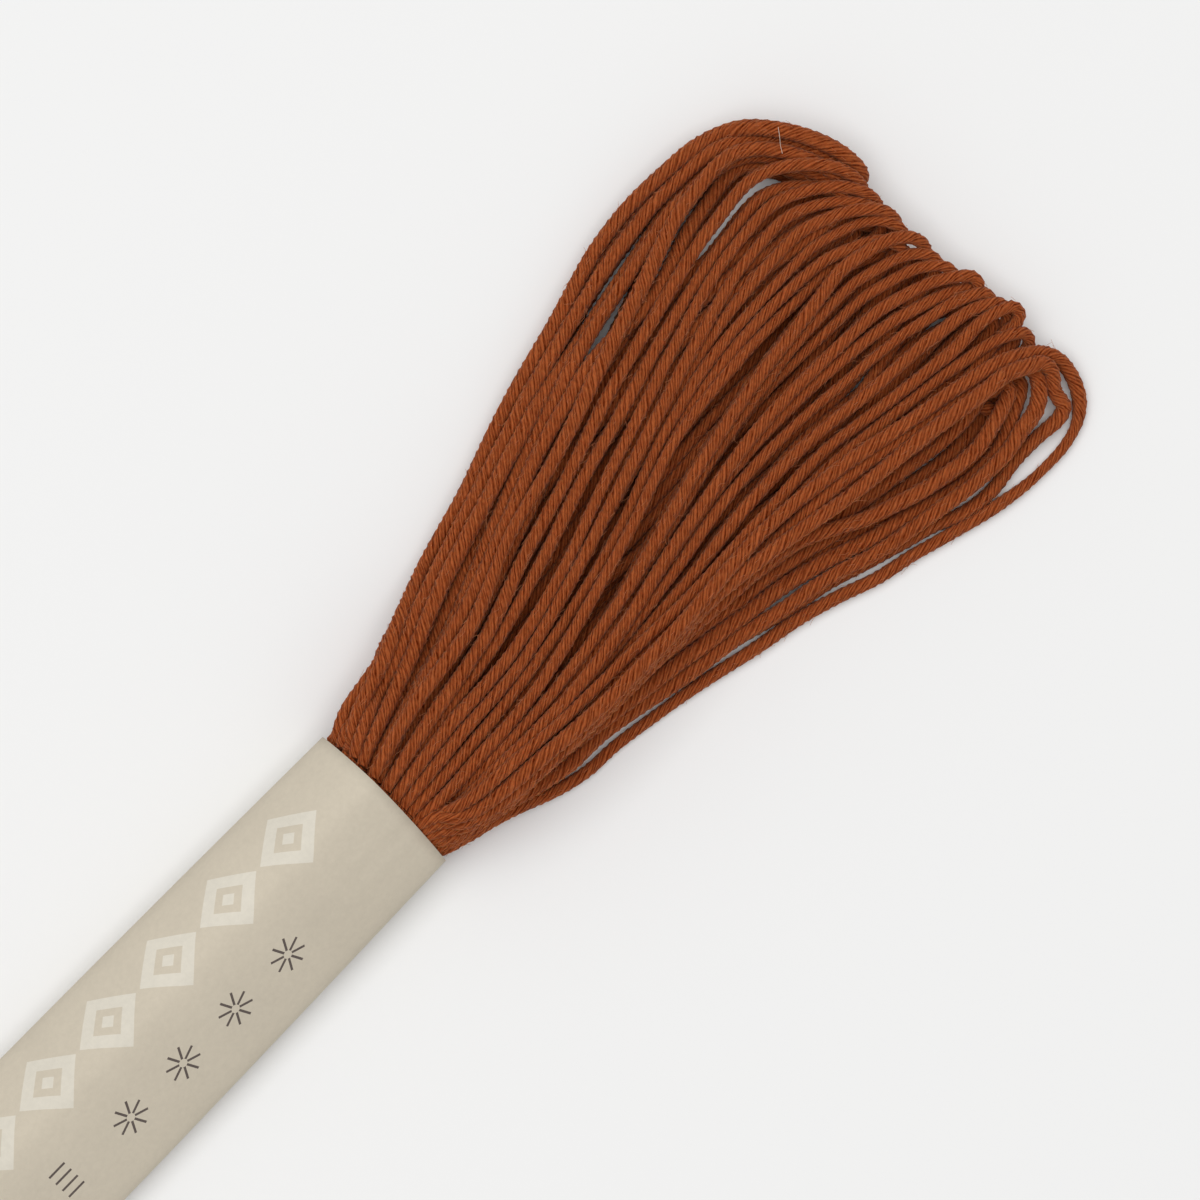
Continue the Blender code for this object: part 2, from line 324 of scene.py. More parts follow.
# The hidden loops under the others: their number and depth, and how much shorter and further to
# the right their tips are.
HIDDEN_LOOPS = 16
HIDDEN_DEPTH = 2
HIDDEN_SHORTER = 0.7
HIDDEN_ASIDE = 0.3

# How the free thread sways, lifts and swells, each as waves of a spacing and a height, and how
# far out of the band it is quite free.
SWAY = ((16.0, 0.1), (6.0, 0.05))
LIFT = ((14.0, 0.22),)
SWELL = ((9.0, 0.045), (2.5, 0.02))
FREE_FROM_BAND = 10.0
BRIDGE_POINTS = 20
THREAD_SEED = 3


def length_along(points):
    """How far along its path each point is."""
    return np.concatenate([[0], np.cumsum(np.linalg.norm(np.diff(points, axis=0), axis=1))])


def curve_through(keys, values, at):
    """Values between their keys, on a smooth curve through them."""
    keys, values = np.asarray(keys, float), np.asarray(values, float)
    at = np.clip(np.asarray(at, float), keys[0], keys[-1])
    slope = np.gradient(values, keys)
    i = np.clip(np.searchsorted(keys, at, "right") - 1, 0, len(keys) - 2)
    gap = keys[i + 1] - keys[i]
    t = (at - keys[i]) / gap
    start = (2 * t**3 - 3 * t**2 + 1) * values[i] + (t**3 - 2 * t**2 + t) * slope[i] * gap
    end = (3 * t**2 - 2 * t**3) * values[i + 1] + (t**3 - t**2) * slope[i + 1] * gap
    return start + end


def ease(low, high, value):
    """0 up to the low value, 1 from the high one on, and a smooth step between them."""
    t = np.clip((value - low) / (high - low), 0, 1)
    return t * t * (3 - 2 * t)


def fan_size(name, along):
    """One of the fan's sizes, at a distance along from the band's mouth."""
    return curve_through([row.along for row in FAN], [getattr(row, name) for row in FAN], along)


def thread_width(x):
    """The thread's width: squeezed in the band, and loose a little way out of it."""
    return SQUEEZED + (LOOSE - SQUEEZED) * ease(*LOOSENS, np.abs(x) - HALF_BAND)


def band_size(x):
    """Half the width and half the height of the band's outside."""
    share = np.minimum(1, np.abs(x) / HALF_BAND) ** BAND_CHANGE
    width = BAND_MIDDLE[0] + (BAND_MOUTH[0] - BAND_MIDDLE[0]) * share
    height = BAND_MIDDLE[1] + (BAND_MOUTH[1] - BAND_MIDDLE[1]) * share
    return width / 2, height / 2


def sunk(x, y):
    """What share of its full height the band stands at, either side of its low ridge."""
    fall = np.hypot(y - RIDGE_ACROSS, RIDGE_SOFTNESS) - RIDGE_SOFTNESS
    return 1 - RIDGE_SLOPE * fall / (2 * band_size(x)[1])


def wander_curve(rng, length, spacing):
    """A smooth curve of random height along a length of thread."""
    heights = rng.standard_normal(int(length / spacing) + 4)

    def at(place):
        share = place / spacing
        i = np.clip(np.floor(share).astype(int), 0, len(heights) - 4)
        t = share - i
        a, b, c, d = (heights[i + k] for k in range(4))
        bend = 2 * a - 5 * b + 4 * c - d
        return 0.5 * (2 * b + (c - a) * t + bend * t * t + (3 * b - a - 3 * c + d) * t**3)

    return at


def wander(rng, arc, waves):
    """The sum of random waves at places along the thread, from their spacings and heights."""
    return sum(wander_curve(rng, arc[-1], spacing)(arc) * height for spacing, height in waves)


def smooth_path(points, step):
    """Evenly spaced points on a smooth curve through a path's points, in the plan."""
    points = np.asarray(points, float)
    along = length_along(points)
    places = np.linspace(0, along[-1], int(along[-1] / step) + 2)
    columns = [curve_through(along, points[:, c], places) for c in range(2)]
    return np.stack(columns, 1)


def height_in_band(y, x, layer):
    """How high a strand lies inside the band, layer strands from the top or, if layer is
    negative, from the bottom."""
    half_width, half_height = band_size(x)
    inset = SQUEEZED / 2 + PAPER_ROOM
    share = np.clip(np.abs(y) / (half_width - inset), 0, 1)
    top = (half_height - inset) * (1 - share**BAND_SQUARENESS) ** (1 / BAND_SQUARENESS)
    rise = np.maximum(LEAST_RISE, top - LAYER_IN_BAND * np.abs(layer))
    return (half_height + np.where(layer < 0, -rise, rise)) * sunk(x, y)


def fan_height(along, y, depth):
    """How high the middle of an upper strand lies in the fan, depth strands down."""
    left, right = fan_size("left", along), fan_size("right", along)
    share = np.clip((left - y) / (left + right), 0, 1)
    bulge = (1 - np.abs(2 * share - 1) ** FAN_ROUNDNESS) ** (1 / FAN_ROUNDNESS)
    top = LOOSE / 2 + (fan_size("crown", along) - LOOSE) * bulge
    return np.maximum(LOOSE / 2, top - LAYER * depth)


def flat_loop(row):
    """A flat loop out and back: its plan, its heights, whether each point is on a run that
    shows, and how full the thread is there."""
    plan = smooth_path(list(zip(STATIONS, row.across)) + list(row.round), STEP)
    turn = np.argmax(plan[:, 0])
    arc = np.arange(len(plan)) * STEP
    down = ease(arc[turn] - FLAT_COMES_DOWN, arc[turn] + FLAT_COMES_DOWN, arc)
    upper_z = fan_height(plan[:, 0], plan[:, 1], row.depth[1])
    floor_z = LOOSE / 2 + LAYER * row.low_layer
    thin, middling, last = row.widths
    widths = (FULL, thin, thin, middling, middling, last)
    full = np.interp(arc - arc[turn], WIDTHS_PAST_TIP, widths)
    return plan, upper_z + (floor_z - upper_z) * down, np.ones(len(plan), bool), full


def turned_loop(row, low_rank, low_layer):
    """A loop that turns over at its tip and comes back under the upper runs, at a rank from the
    left: the same as flat_loop gives."""
    spread = HEADING_SPREAD * float(ease(*HEADING_ACROSS, row.tip[1]))
    heading = math.radians(HEADING_RIGHT + spread)
    forward = np.array([math.cos(heading), -math.sin(heading)])
    rightward = np.array([-math.sin(heading), -math.cos(heading)])
    drawn_in = TIP_DRAWN_IN + TURN_RADIUS * (1 - math.sin(heading))
    start = np.array(row.tip) - np.array([drawn_in, 0])
    angles = np.linspace(0, math.pi - heading, TURN_POINTS)[:, None]
    centre = start + TURN_RADIUS * rightward
    turn_over = centre + TURN_RADIUS * (forward * np.sin(angles) - rightward * np.cos(angles))
    out = smooth_path(list(zip(STATIONS, row.across)) + [tuple(p) for p in turn_over], STEP)

    end = turn_over[-1]
    back_x = np.append(np.arange(end[0] - STEP, 0, -STEP), 0.0)
    leftmost, rightmost = fan_size("low_left", back_x), -fan_size("low_right", back_x)
    back_y = leftmost + (rightmost - leftmost) * low_rank
    back_y += (end[1] - back_y[0]) * (1 - ease(0, LOWER_SWEEP, end[0] - back_x))
    plan = np.concatenate([out, np.stack([back_x, back_y], 1)])

    turned = len(out)
    arc = length_along(plan)
    before, after = COMES_DOWN
    down = ease(arc[turned] - before, arc[turned] + after, arc)
    depth = curve_through(DEPTHS_ALONG, row.depth, np.asarray(STATIONS, float))
    layers = curve_through(STATIONS, depth, plan[:, 0])
    upper_z = fan_height(plan[:, 0], plan[:, 1], layers)
    floor_z = LOOSE / 2 + LAYER * low_layer
    share = float(ease(*PULLED_ACROSS, row.across[5]))
    full = np.full(len(plan), PULLED + (FULL - PULLED) * share)
    return plan, upper_z + (floor_z - upper_z) * down, np.arange(len(plan)) < turned, full


def one_loop(row, low_rank, low_layer):
    """One loop of the fan at +X, from the band's mouth out and back: its points, x y z with
    how full the thread is there, and whether each is on a run that shows."""
    if isinstance(row, FlatLoop):
        plan, z, shown, full = flat_loop(row)
    else:
        plan, z, shown, full = turned_loop(row, low_rank, low_layer)
    mouth = 1 - ease(0.0, MOUTH_SWEEP, plan[:, 0])
    over = np.arange(len(plan)) < np.argmax(plan[:, 0])
    upper = np.interp(plan[:, 0], MOUTH_DEPTHS_ALONG, row.depth[:2])
    layer = np.where(over, upper, -1.0 - LOWER_LAYERS * low_layer)
    z = z + (height_in_band(plan[:, 1], HALF_BAND, layer) - z) * mouth
    return np.column_stack([plan[:, 0] + HALF_BAND, plan[:, 1], z, full]), shown


def between(rows, place, depth):
    """A hidden loop's run, between two rows of the table and a little shorter than both."""
    i = min(int(place), len(rows) - 2)
    share = place - i
    a, b = rows[i], rows[i + 1]
    across = tuple(p + (q - p) * share for p, q in zip(a.across, b.across))
    tip = tuple(p + (q - p) * share for p, q in zip(a.tip, b.tip))
    return Run((depth, depth, depth), across, (tip[0] - HIDDEN_SHORTER, tip[1] - HIDDEN_ASIDE))


def wind_thread(seed):
    """The thread's middle line before it settles, which turn each point is on, whether its run
    shows, and the thread's width there."""
    rng = np.random.default_rng(seed)
    places = [(k + 0.5) / HIDDEN_LOOPS for k in range(HIDDEN_LOOPS)]
    hidden = [
        between(UPPER_RUNS, place * (len(UPPER_RUNS) - 1), HIDDEN_DEPTH + k % 2)
        for k, place in enumerate(places)
    ]
    rows = hidden + list(reversed(UPPER_RUNS + FLAT_LOOPS))
    ranks = places + [1.0] * len(FLAT_LOOPS)
    ranks += [1 - (k + 0.5) / len(UPPER_RUNS) for k in range(len(UPPER_RUNS))]
    ends = []
    for i, row in enumerate(rows):
        low_layer = row.low_layer if isinstance(row, FlatLoop) else i % 2
        ends.append(one_loop(row, ranks[i], low_layer))
    order = {}
    for group in (range(HIDDEN_LOOPS), range(HIDDEN_LOOPS, len(rows))):
        for i in group:
            order[i] = group[0] + group[-1] - i

    points, turns, held = [], [], []
    for i in range(len(rows)):
        near, near_shown = ends[i]
        far, far_shown = ends[order[i]]
        far = far * (-1, -1, 1, 1)
        following = ends[(i + 1) % len(rows)][0][0]
        for start, end, part, part_shown in (
            (near[-1], far[-1], near, near_shown),
            (far[0], following, far[::-1], far_shown[::-1]),
        ):
            inside = np.linspace(0, 1, BRIDGE_POINTS + 2)[1:-1, None]
            swing = inside * inside * (3 - 2 * inside)
            bridge = start + (end - start) * np.hstack([inside, swing, swing, swing])
            points += [part, bridge]
            held += [part_shown, np.zeros(len(bridge), bool)]
            turns.append(np.full(len(part) + len(bridge), i))
    points, turns, held = np.concatenate(points), np.concatenate(turns), np.concatenate(held)

    line, full = points[:, :3].copy(), points[:, 3]
    arc = length_along(line)
    free = ease(0.0, FREE_FROM_BAND, np.abs(line[:, 0]) - HALF_BAND)
    line[:, 1] += wander(rng, arc, SWAY) * free
    line[:, 2] += wander(rng, arc, LIFT) * free
    width = thread_width(line[:, 0]) * (1 + (full - 1 + wander(rng, arc, SWELL)) * free)
    return line, turns, held, width


def near_pairs(points, reach, skip):
    """Every two points within a reach of each other that aren't neighbours on the thread."""
    cell = np.floor(points / reach).astype(np.int64)
    cell -= cell.min(0) - 1
    size = cell.max(0) + 2
    key = (cell[:, 0] * size[1] + cell[:, 1]) * size[2] + cell[:, 2]
    order = np.argsort(key, kind="stable")
    keys = key[order]
    firsts, seconds = [], []
    steps = [(x, y, z) for x in (0, 1) for y in (-1, 0, 1) for z in (-1, 0, 1)]
    for step in [s for s in steps if s >= (0, 0, 0)]:
        other = key + (step[0] * size[1] + step[1]) * size[2] + step[2]
        low = np.searchsorted(keys, other, "left")
        count = np.searchsorted(keys, other, "right") - low
        a = np.repeat(np.arange(len(points)), count)
        b = order[np.repeat(low - (np.cumsum(count) - count), count) + np.arange(len(a))]
        keep = np.abs(a - b) > skip
        if step == (0, 0, 0):
            keep &= a < b
        firsts.append(a[keep])
        seconds.append(b[keep])
    a, b = np.concatenate(firsts), np.concatenate(seconds)
    close = ((points[a] - points[b]) ** 2).sum(1) < reach**2
    return a[close], b[close]


# How the thread settles: how near strands may come, as a share of their width; the flare that
# keeps them in at the band's mouth; how far inside the mouth they still move; and the rounds it
# takes, how often and how widely they look for others, skipping their own neighbours.
SOFTNESS = 0.9
FLARE = 1.0
FLARE_LENGTH = 1.2
MOVES_INSIDE = 2.5
ROUNDS = 300
LOOKS_EVERY = 12
LOOKS_WITHIN = 1.5
SKIPS = 4

# How strongly strands push each other apart; how fast those that show and those that don't fall,
# and for what share of the rounds; how strongly each keeps its place in the plan; and how much
# and how often a round evens them out.
PUSH = 1.5
FALLS_SHOWN = 0.004
FALLS_HIDDEN = 0.012
FALLS_FOR = 0.85
KEEPS_SHOWN = 0.12
KEEPS_HIDDEN = 0.01
EVENS = 0.35
EVENS_TIMES = 2
TINY = 1e-9


def pushed_apart(points, a, b, reach):
    """How far the points of each pair that overlaps push each other, as a mean for each point."""
    count = len(points)
    between_points = points[a] - points[b]
    apart = np.sqrt((between_points**2).sum(1)) + TINY
    overlap = (reach[a] + reach[b]) / 2 - apart
    hit = overlap > 0
    push = between_points[hit] / apart[hit, None] * (overlap[hit, None] * 0.5)
    first, second = a[hit], b[hit]
    moved = [
        np.bincount(first, push[:, c], count) - np.bincount(second, push[:, c], count)
        for c in range(3)
    ]
    touching = np.bincount(first, minlength=count) + np.bincount(second, minlength=count)
    return np.stack(moved, 1) / np.maximum(1, touching)[:, None]


def evened(drift):
    """A drift from the plan, evened out along the thread."""
    for _ in range(EVENS_TIMES):
        neighbours = drift.copy()
        neighbours[1:-1] = (drift[:-2] + drift[2:]) / 2
        drift += EVENS * (neighbours - drift)
    return drift


def settle(start, held, width, rounds):
    """Lets the thread sink onto itself: strands push each other apart, fall, and stay smooth,
    over the surface, inside the band and inside a flare that starts at its mouth. Runs that
    show keep their place in the plan."""
    points = start.copy()
    past_mouth = np.abs(start[:, 0]) - HALF_BAND
    free = past_mouth > -MOVES_INSIDE
    in_band = np.abs(start[:, 0]) < HALF_BAND + FLARE_LENGTH
    half_width, half_height = band_size(start[:, 0])
    room = FLARE * np.maximum(0, past_mouth) - PAPER_ROOM - width / 2
    inside_width, inside_height = half_width + room, half_height + room
    keep_place = np.where(held, KEEPS_SHOWN, KEEPS_HIDDEN)[:, None]
    sinking = np.where(held, FALLS_SHOWN, FALLS_HIDDEN)
    for k in range(rounds):
        if k % LOOKS_EVERY == 0:
            a, b = near_pairs(points, LOOKS_WITHIN, SKIPS)
            keep = free[a] & free[b]
            a, b = a[keep], b[keep]
        points += pushed_apart(points, a, b, width * SOFTNESS) * PUSH * free[:, None]
        points[:, 2] -= sinking * max(0.0, 1 - k / (rounds * FALLS_FOR)) * free
        drift = evened(points - start)
        drift[:, :2] *= 1 - keep_place
        points = start + drift
        points[:, 2] = np.maximum(points[:, 2], width / 2)
        upright = points[:, 2] / sunk(points[:, 0], points[:, 1]) - half_height
        out = (np.abs(points[:, 1]) / inside_width) ** BAND_SQUARENESS
        out = (out + (np.abs(upright) / inside_height) ** BAND_SQUARENESS) ** (1 / BAND_SQUARENESS)
        past = in_band & (out > 1)
        points[past, 1] /= out[past]
        pressed = half_height[past] + upright[past] / out[past]
        points[past, 2] = pressed * sunk(points[past, 0], points[past, 1])
    return points


line, turn_of, held, width = wind_thread(THREAD_SEED)
line = settle(line, held, width, ROUNDS)

# -----------------------------------------------------------------------------
# The thread: six soft cotton plies twisted together to the right, dyed rust brown. It is laid
# as tubes with six ridges that wind round it, a few turns of the skein to a piece.
# -----------------------------------------------------------------------------

# The plies and the fine yarns that show round the thread, the length in which a ply goes round
# once, the tube's crests and grooves as shares of the thread's width, and the turns in a piece.
PLIES = 6
YARNS = 11
PLY_PITCH = 3.4
CREST = 1.01
GROOVE = 0.94
TURNS_A_PIECE = 11

# How far apart a tube's rings are in the fan, at its tips and hidden in the band; where along the
# tips start, and how far inside its mouth the band hides the rings; and the step that finds them.
FINE_STEP = 0.42
TIP_STEP = 0.3
HIDDEN_STEP = 2.0
TIPS_START = 38.5
HIDDEN_PAST = 1.5
FINEST = 0.05


def evenly_spaced(points, spacing_at):
    """The line again, on a smooth curve through its points, with the spacing asked for at x."""
    along = length_along(points[:, :3])
    rows = np.arange(0, along[-1], FINEST)
    slope = np.gradient(points, along, axis=0)
    i = np.clip(np.searchsorted(along, rows, "right") - 1, 0, len(along) - 2)
    gap = (along[i + 1] - along[i])[:, None]
    t = ((rows - along[i]) / gap[:, 0])[:, None]
    fine = (2 * t**3 - 3 * t**2 + 1) * points[i] + (t**3 - 2 * t**2 + t) * slope[i] * gap
    fine += (3 * t**2 - 2 * t**3) * points[i + 1] + (t**3 - t**2) * slope[i + 1] * gap
    share = np.cumsum(FINEST / spacing_at(fine[:, 0]))
    wanted = np.linspace(share[0], share[-1], int(share[-1] - share[0]) + 1)
    return np.stack([np.interp(wanted, share, column) for column in fine.T], 1)


def spacing(x):
    """How far apart the tube's rings are at x."""
    along = np.abs(x) - HALF_BAND
    step = np.where(along < -HIDDEN_PAST, HIDDEN_STEP, FINE_STEP)
    return np.where(along > TIPS_START, TIP_STEP, step)


def cut_end(name, corners):
    """A thread's cut end as a closed curve, from its corners' radii in millimetres."""
    outline = bpy.data.curves.new(name, "CURVE")
    outline.dimensions = "2D"
    ring = outline.splines.new("POLY")
    ring.points.add(len(corners) - 1)
    ring.use_cyclic_u = True
    for k, point in enumerate(ring.points):
        angle = -2 * math.pi * k / len(corners)
        point.co = (corners[k] * MM * math.cos(angle), corners[k] * MM * math.sin(angle), 0, 1)
    made = bpy.data.objects.new(name, outline)
    scene.collection.objects.link(made)
    return made


def lay_strands(name, loops, outline, pitch):
    """A piece of several runs of thread, from their middle lines and widths, as one mesh."""
    curve = bpy.data.curves.new(name, "CURVE")
    curve.dimensions = "3D"
    curve.twist_mode = "MINIMUM"
    curve.bevel_mode = "OBJECT"
    curve.bevel_object = outline
    curve.use_fill_caps = True
    for loop in loops:
        spline = curve.splines.new("POLY")
        spline.points.add(len(loop) - 1)
        places = np.column_stack([loop[:, :3] * MM, np.ones(len(loop))])
        spline.points.foreach_set("co", places.ravel())
        spline.points.foreach_set("radius", loop[:, 3])
        spline.points.foreach_set("tilt", -2 * math.pi * length_along(loop[:, :3]) / pitch)
    guide = bpy.data.objects.new(name + "_guide", curve)
    scene.collection.objects.link(guide)
    mesh = bpy.data.meshes.new_from_object(
        guide.evaluated_get(bpy.context.evaluated_depsgraph_get())
    )
    bpy.data.objects.remove(guide)
    bpy.data.curves.remove(curve)
    mesh.name = name
    mesh.materials.clear()
    mesh.shade_smooth()
    piece = bpy.data.objects.new(name, mesh)
    scene.collection.objects.link(piece)
    return piece


def lengthwise_in_mm(mesh, loops, corners):
    """Scales the map's first direction from a share of each run to millimetres along it."""
    spread = np.zeros(len(mesh.vertices))
    first = 0
    for loop in loops:
        spread[first : first + len(loop) * corners] = length_along(loop[:, :3])[-1]
        first += len(loop) * corners
    corner_vertex = np.zeros(len(mesh.loops), np.int32)
    mesh.loops.foreach_get("vertex_index", corner_vertex)
    layer = mesh.uv_layers[0]
    places = np.zeros(len(mesh.loops) * 2)
    layer.uv.foreach_get("vector", places)
    places[0::2] *= spread[corner_vertex]
    layer.uv.foreach_set("vector", places)


def add_node(tree, kind, inputs, **settings):
    """A shader node with its settings, its inputs set to values or joined to other nodes."""
    made = tree.nodes.new(kind)
    for name, value in settings.items():
        setattr(made, name, value)
    for key, value in inputs.items():
        if isinstance(value, bpy.types.NodeSocket):
            tree.links.new(value, made.inputs[key])
        else:
            made.inputs[key].default_value = value
    return made


def calculate(tree, operation, *values):
    """One step of arithmetic in a material."""
    made = add_node(tree, "ShaderNodeMath", dict(enumerate(values)), operation=operation)
    return made.outputs[0]


def noise(tree, place, **settings):
    """A cloudy pattern from 0 to 1 at a place."""
    made = add_node(tree, "ShaderNodeTexNoise", {"Vector": place, **settings})
    return made.outputs["Fac"]


def mixed(tree, share, first, second):
    """The first colour with a share of the second."""
    inputs = {"Factor": share, "A": first, "B": second}
    return add_node(tree, "ShaderNodeMix", inputs, data_type="RGBA").outputs["Result"]


def toned(tree, colour, tone):
    """A colour made lighter or darker by a factor."""
    inputs = {0: colour, "Scale": tone}
    return add_node(tree, "ShaderNodeVectorMath", inputs, operation="SCALE").outputs[0]


def raised(tree, shader, height, strength, depth):
    """Raises a pattern on the shader's surface, to a depth in millimetres."""
    inputs = {"Height": height, "Strength": strength, "Distance": depth * MM}
    tree.links.new(add_node(tree, "ShaderNodeBump", inputs).outputs[0], shader.inputs["Normal"])


# The cotton: its light rust, and its dark rust, which is partly the fibres' own darker tone and
# partly painted shade in the grooves between plies, yarns and fibres; how its patches and fibres
# run, and shift its plies and yarns; how much painted shade each of them lays on it; and its soft
# surface, which lets in some light.
THREAD_LIGHT = (0.455, 0.119, 0.035, 1)
THREAD_DARK_AND_GROOVE_SHADE = (0.10, 0.010, 0.000, 1)
FIBRES_LENGTHWISE = 0.6
PATCH_SCALE = 0.8
FIBRE_SCALE = 3.6
PLY_SHIFT = 4.0
YARN_SHIFT = 3.0
PLY_SHADE = 0.10
YARN_SHADE = 0.22
FIBRE_SHADE = 1.1
DARKEST_AT = 0.12
LIGHTEST_AT = 0.98
COTTON_RELIEF = 0.75
COTTON_RELIEF_DEPTH = 0.08
COTTON_SURFACE = {
    "Roughness": 0.75,
    "Specular IOR Level": 0.05,
    "Specular Tint": THREAD_LIGHT,
    "Subsurface Weight": 0.35,
    "Subsurface Radius": (1.0, 0.35, 0.15),
    "Subsurface Scale": 0.35 * MM,
    "Sheen Weight": 0.22,
    "Sheen Roughness": 0.5,
    "Sheen Tint": (0.80, 0.42, 0.28, 1),
}


def twisted_cotton(name):
    """Cotton in plies: u is millimetres along the thread and v the share of the way round."""
    material, tree, shader = new_material(name, COTTON_SURFACE)
    place = add_node(tree, "ShaderNodeTexCoord", {}).outputs["UV"]
    along, turn, _ = add_node(tree, "ShaderNodeSeparateXYZ", {0: place}).outputs
    angle = calculate(tree, "MULTIPLY", turn, 2 * math.pi)
    side = calculate(tree, "COSINE", angle)
    top = calculate(tree, "SINE", angle)
    lengthwise = calculate(tree, "MULTIPLY", along, FIBRES_LENGTHWISE)
    bent = add_node(tree, "ShaderNodeCombineXYZ", {0: lengthwise, 1: side, 2: top}).outputs[0]
    patches = noise(tree, bent, Scale=PATCH_SCALE, Detail=1.0)
    fibres = noise(tree, bent, Scale=FIBRE_SCALE, Detail=2.5, Roughness=0.7)
    drift = calculate(tree, "MULTIPLY", patches, PLY_SHIFT)
    plies = calculate(tree, "MULTIPLY_ADD", angle, PLIES, drift)
    yarns = calculate(tree, "MULTIPLY", angle, YARNS)
    yarns = calculate(tree, "MULTIPLY_ADD", drift, YARN_SHIFT, yarns)
    height = calculate(tree, "MULTIPLY", calculate(tree, "COSINE", plies), PLY_SHADE)
    height = calculate(tree, "MULTIPLY_ADD", calculate(tree, "COSINE", yarns), YARN_SHADE, height)
    height = calculate(tree, "MULTIPLY_ADD", fibres, FIBRE_SHADE, height)
    limits = {"Value": height, "From Min": DARKEST_AT, "From Max": LIGHTEST_AT}
    shade = add_node(tree, "ShaderNodeMapRange", limits).outputs[0]
    # The dark rust here is partly the fibres' own tone and partly painted shade in the grooves
    # between plies, yarns and fibres.
    colour = mixed(tree, shade, THREAD_DARK_AND_GROOVE_SHADE, THREAD_LIGHT)
    tree.links.new(colour, shader.inputs["Base Color"])
    raised(tree, shader, height, COTTON_RELIEF, COTTON_RELIEF_DEPTH)
    return material


cotton = twisted_cotton("rust_cotton_thread")
thread_end = cut_end("thread_end", [CREST / 2, GROOVE / 2] * PLIES)
starts = np.flatnonzero(np.diff(turn_of)) + 1
laid = np.column_stack([line, width])
turns = []
for rows in np.split(np.arange(len(line)), starts):
    if rows[-1] + 1 < len(line):
        rows = np.append(rows, rows[-1] + 1)
    turns.append(evenly_spaced(laid[rows], spacing))
for first in range(0, len(turns), TURNS_A_PIECE):
    group = turns[first : first + TURNS_A_PIECE]
    name = f"thread_turns_{first // TURNS_A_PIECE + 1}"
    piece = lay_strands(name, group, thread_end, PLY_PITCH)
    lengthwise_in_mm(piece.data, group, 2 * PLIES)
    piece.data.materials.append(cotton)
    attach(piece, "root")
    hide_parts("hank")
bpy.data.objects.remove(thread_end)

# -----------------------------------------------------------------------------
# The bloom on the thread: short ends of cotton fibre that stand off its outside, and one longer
# pale fibre caught across the outermost loops near their tips.
# -----------------------------------------------------------------------------

# The short fibres: their width, least and greatest length and number; how far they lean away from
# the thread, and the least and greatest share of it; how much they bend; how far out in the thread
# they are rooted; and how far from the band and above the surface they keep.
FIBRE_WIDTH = 0.018
FIBRE_LENGTHS = (0.15, 0.5)
FIBRE_COUNT = 13500
FIBRE_LEAN = 0.55
FIBRE_LEANS = (0.1, 1.0)
FIBRE_BEND = 0.5
FIBRE_ROOTS = 0.47
FIBRES_FROM_BAND = 0.3
FIBRES_ABOVE_SURFACE = 0.03
FIBRE_SEED = 5
FIBRE_COLOUR = (0.56, 0.21, 0.10, 1)
FIBRE_PATCHES = 0.4
FIBRE_TONES = (0.7, 1.2)
FIBRE_SURFACE = {"Roughness": 0.8, "Specular IOR Level": 0.1}
FIBRE_TWIST = 50.0
STRAY_FIBRE = ((40.6, 9.2), (40.9, 9.6), (41.25, 10.0), (41.55, 10.4))
STRAY_WIDTH = 0.035
STRAY_COLOUR = (0.80, 0.66, 0.55, 1)


def plain_fibre(name, colour):
    """Bare cotton fibre, a little lighter and darker from place to place."""
    material, tree, shader = new_material(name, FIBRE_SURFACE)
    place = add_node(tree, "ShaderNodeTexCoord", {}).outputs["Object"]
    patches = noise(tree, place, Scale=FIBRE_PATCHES / MM)
    limits = {"Value": patches, "To Min": FIBRE_TONES[0], "To Max": FIBRE_TONES[1]}
    tone = add_node(tree, "ShaderNodeMapRange", limits).outputs[0]
    tree.links.new(toned(tree, colour[:3], tone), shader.inputs["Base Color"])
    return material


def loose_fibres(line, width, count, seed):
    """Short bent fibres that start on the thread's surface, as paths with their widths."""
    rng = np.random.default_rng(seed)
    along = np.gradient(line, axis=0)
    along /= np.linalg.norm(along, axis=1)[:, None]
    outside = np.flatnonzero(np.abs(line[:, 0]) > HALF_BAND + FIBRES_FROM_BAND)
    at = rng.choice(outside, count)
    way = rng.standard_normal((count, 3))
    way[:, 2] = np.abs(way[:, 2])
    way -= along[at] * (way * along[at]).sum(1)[:, None]
    way /= np.linalg.norm(way, axis=1)[:, None]
    length = rng.uniform(*FIBRE_LENGTHS, count)[:, None]
    side = np.where(rng.random(count) < 0.5, -1.0, 1.0)[:, None]
    heading = along[at] * side + way * rng.uniform(*FIBRE_LEANS, count)[:, None] * FIBRE_LEAN
    turned = heading + rng.standard_normal((count, 3)) * FIBRE_BEND
    root = line[at] + way * width[at, None] * FIBRE_ROOTS
    middle = root + heading * length * 0.5
    end = middle + turned * length * 0.5
    paths = np.stack([root, middle, end], 1)
    paths[:, :, 2] = np.maximum(paths[:, :, 2], FIBRES_ABOVE_SURFACE)
    widths = np.full((count, 3, 1), FIBRE_WIDTH)
    return np.concatenate([paths, widths], 2)


fibre_end = cut_end("fibre_end", [0.5, 0.5, 0.5])
short_fibres = loose_fibres(line, width, FIBRE_COUNT, FIBRE_SEED)
piece = lay_strands("thread_bloom", short_fibres, fibre_end, FIBRE_TWIST)
piece.data.materials.append(plain_fibre("rust_fibre", FIBRE_COLOUR))
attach(piece, "root")
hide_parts("hank")

stray = []
for x, y in STRAY_FIBRE:
    under = np.hypot(line[:, 0] - HALF_BAND - x, line[:, 1] - y) < LOOSE
    stray.append((HALF_BAND + x, y, line[under, 2].max() + LOOSE / 2 + STRAY_WIDTH, STRAY_WIDTH))
piece = lay_strands("stray_fibre", [np.array(stray)], fibre_end, FIBRE_TWIST)
piece.data.materials.append(plain_fibre("pale_fibre", STRAY_COLOUR))
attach(piece, "root")
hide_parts("hank")
bpy.data.objects.remove(fibre_end)

